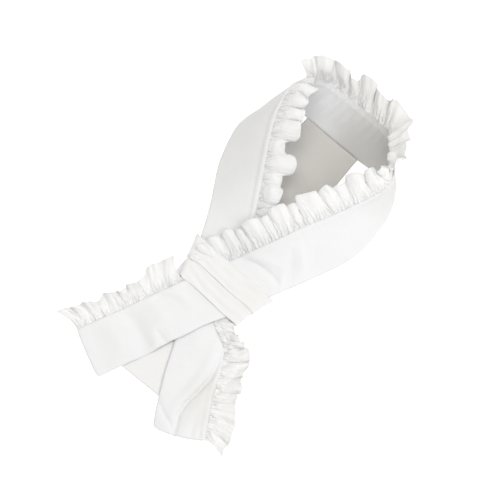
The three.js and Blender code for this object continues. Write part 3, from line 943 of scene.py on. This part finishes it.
def panelShape(along, across):
    # along runs from the neck seam to the end, across from the right side to the left
    x = panel["neckX"] - panel["width"] * across + panel["drift"] * along
    y = panel["neckY"] - (panel["length"] + panel["endSlope"] * across) * along
    flatX = across * panel["width"]
    flatY = along * panel["length"]
    hem, seam = panel["hem"], panel["seam"]
    inLoop = within(y, *panel["loop"])
    betweenTails = endedBy(y, *panel["tails"])
    wave = np.zeros(len(y))
    for waves, here in ((panel["loopWaves"], inLoop), (panel["tailWaves"], betweenTails)):
        for height, size, seed in waves:
            wave = wave + height * (unevenSheet(flatY, flatX, size, seed) + 1) * here
    fromSide = np.minimum(flatX, panel["width"] - flatX)
    hemRise = hem["height"] * bump(fromSide - hem["at"], hem["width"]) * inLoop
    fromSeam = flatY - seam["at"] - seam["stray"] * unevenLine(flatX, 17, 34)
    seamRidge = seam["height"] * bump(fromSeam, seam["width"])
    z = panel["lowest"] + wave + hemRise + seamRidge
    return np.stack([x, y, z], 1), np.stack([flatY, flatX], 1)


panelPiece = clothGrid("panel_cloth", panel["alongSteps"], panel["acrossSteps"], panelShape)
giveThickness(panelPiece, panel["thickness"])
finishPiece(panelPiece, panelCotton, "back_panel", slot="panel_cotton")
print("panel made")


# keeper wrap
# rows: y, left, right, top of the turn, from its lower edge to its upper edge
turnGrid = {"aroundSteps": 200, "acrossSteps": 30, "thickness": 0.7}
upperTurn = {
    "rows": [(-31.5, -43.5, 64, 10.3), (-28, -44, 64.5, 10.6), (-16, -49, 67, 10.5), (-4, -54, 71, 9.6)],
    "under": 2.0, "rise": 0.9,
}
lowerTurn = {
    "rows": [(-56, -32, 60, 8.9), (-44, -37, 61, 9.3), (-31, -43, 63, 9.4), (-24, -46, 64.5, 9.4)],
    "under": 2.9, "rise": 0.35,
}
# bend, uneven, sway: amount, size, seed
turnFolds = {
    "height": 0.45, "spacing": 11.0, "fading": 0.4, "above": 0.05,
    "bend": (0.5, 34, 41), "uneven": (0.5, 16, 42), "sway": (0.8, 22, 43),
}


def turnShape(turn, tree):
    # once round the crossed strands: over the top, down the right side, back underneath, up the left side
    def shape(along, across):
        ys = np.array([row[0] for row in turn["rows"]], float)
        y = ys[0] + (ys[-1] - ys[0]) * across
        left, right, top = (np.interp(y, ys, [row[k] for row in turn["rows"]]) for k in (1, 2, 3))
        radius = (top - turn["under"]) / 2
        middle = (top + turn["under"]) / 2
        flat = right - left - 2 * radius
        half = math.pi * radius
        run = along * (2 * flat + 2 * half)
        x = np.zeros(len(run))
        z = np.zeros(len(run))
        onTop = run < flat
        x[onTop] = (left + radius + run)[onTop]
        z[onTop] = top[onTop]
        onRight = (run >= flat) & (run < flat + half)
        angle = math.pi / 2 - (run - flat) / radius
        x[onRight] = (right - radius + radius * np.cos(angle))[onRight]
        z[onRight] = (middle + radius * np.sin(angle))[onRight]
        under = (run >= flat + half) & (run < 2 * flat + half)
        x[under] = (right - radius - (run - flat - half))[under]
        z[under] = turn["under"]
        onLeft = run >= 2 * flat + half
        angle = -math.pi / 2 - (run - 2 * flat - half) / radius
        x[onLeft] = (left + radius + radius * np.cos(angle))[onLeft]
        z[onLeft] = (middle + radius * np.sin(angle))[onLeft]
        for index in np.nonzero(onTop)[0]:
            above = Vector((x[index] * mm, y[index] * mm, turnFolds["above"]))
            hit = tree.ray_cast(above, Vector((0, 0, -1)))
            if hit[0] is not None:
                z[index] = max(z[index], hit[0].z / mm + turn["rise"])
        folds = np.sin(2 * math.pi * (y / turnFolds["spacing"] + varying(run, *turnFolds["bend"])))
        amount, size, seed = turnFolds["uneven"]
        folds = turnFolds["height"] * folds + amount * unevenSheet(run, y - ys[0], size, seed)
        z = z + folds * onTop * np.sin(math.pi * np.clip(run / flat, 0, 1)) ** turnFolds["fading"]
        y = y + varying(run, *turnFolds["sway"]) * onTop
        return np.stack([x, y, z], 1), np.stack([run, y - ys[0]], 1)
    return shape


bandTop = BVHTree.FromObject(bandPiece, bpy.context.evaluated_depsgraph_get())
for name, turn in (("keeper_lower_turn", lowerTurn), ("keeper_upper_turn", upperTurn)):
    shape = turnShape(turn, bandTop)
    piece = clothGrid(name, turnGrid["aroundSteps"], turnGrid["acrossSteps"], shape, joined=True)
    giveThickness(piece, turnGrid["thickness"])
    finishPiece(piece, wrapCotton, "keeper_wrap", slot="wrap_cotton")
print("keeper wrap made")


# floor, light and camera
table = {"halfSide": 4.0, "tone": (0.9, 0.9, 0.9, 1), "glow": 0.5, "roughness": 0.9, "specular": 0.1}
roomLight = {"wall": 0.58, "overhead": 0.52, "colour": (1, 0.985, 0.955, 1), "lowest": 0.15, "highest": 1.0}
# each soft light: name, place, aim, size, power, colour
softLights = [
    ("window", (1.03, 0.05, 1.47), (0, 0.05, 0), 1.0, 8.5, (0.985, 0.992, 1.0)),
    ("backWall", (0.0, 1.64, 0.85), (0, 0.05, 0), 1.0, 3.0, (1.0, 0.985, 0.955)),
    ("ceiling", (0.0, 0.0, 1.8), (0, 0.02, 0), 1.2, 15.5, (1.0, 0.997, 0.99)),
]
camera = {
    "place": (0.37984, -0.37304, 1.50351), "looksAt": (0.00524, 0.02587, 0.0), "lens": 96.0, "sensor": 36.0,
}


def makeFloor():
    # the table glows a little, as a lit white table does
    floor = levelSquare("floor", table["halfSide"])
    paper = bpy.data.materials.new("palePaper")
    paper.use_nodes = True
    surface = paper.node_tree.nodes["Principled BSDF"]
    surface.inputs["Base Color"].default_value = table["tone"]
    surface.inputs["Emission Color"].default_value = (1, 1, 1, 1)
    surface.inputs["Emission Strength"].default_value = table["glow"]
    surface.inputs["Roughness"].default_value = table["roughness"]
    surface.inputs["Specular IOR Level"].default_value = table["specular"]
    floor.data.materials.append(paper)


def makeRoom():
    # brighter towards the walls than overhead
    world = bpy.data.worlds.new("paleRoom")
    world.use_nodes = True
    sky = world.node_tree
    direction = makeNode(sky, "ShaderNodeTexCoord", -900, 0)
    parts = makeNode(sky, "ShaderNodeSeparateXYZ", -700, 0)
    sky.links.new(direction.outputs["Generated"], parts.inputs[0])
    height = makeNode(sky, "ShaderNodeMapRange", -500, 0, interpolation_type="SMOOTHSTEP")
    height.inputs["From Min"].default_value = roomLight["lowest"]
    height.inputs["From Max"].default_value = roomLight["highest"]
    height.inputs["To Min"].default_value = roomLight["wall"]
    height.inputs["To Max"].default_value = roomLight["overhead"]
    sky.links.new(parts.outputs[2], height.inputs["Value"])
    room = sky.nodes["Background"]
    room.inputs[0].default_value = roomLight["colour"]
    sky.links.new(height.outputs[0], room.inputs[1])
    bpy.context.scene.world = world


def aimFrom(made, place, aim):
    made.location = place
    made.rotation_mode = "QUATERNION"
    made.rotation_quaternion = (Vector(aim) - Vector(place)).to_track_quat("-Z", "Y")


def addSoftLight(name, place, aim, size, power, colour):
    data = bpy.data.lights.new(name, "AREA")
    data.shape = "DISK"
    data.size = size
    data.energy = power
    data.color = colour
    aimFrom(linkedObject(name, data), place, aim)


def addCamera():
    data = bpy.data.cameras.new("camera")
    data.lens = camera["lens"]
    data.sensor_width = camera["sensor"]
    made = linkedObject("camera", data)
    aimFrom(made, camera["place"], camera["looksAt"])
    bpy.context.scene.camera = made


makeFloor()
makeRoom()
for softLight in softLights:
    addSoftLight(*softLight)
addCamera()
bpy.context.scene.view_settings.view_transform = "Standard"
print("table, light and camera placed")
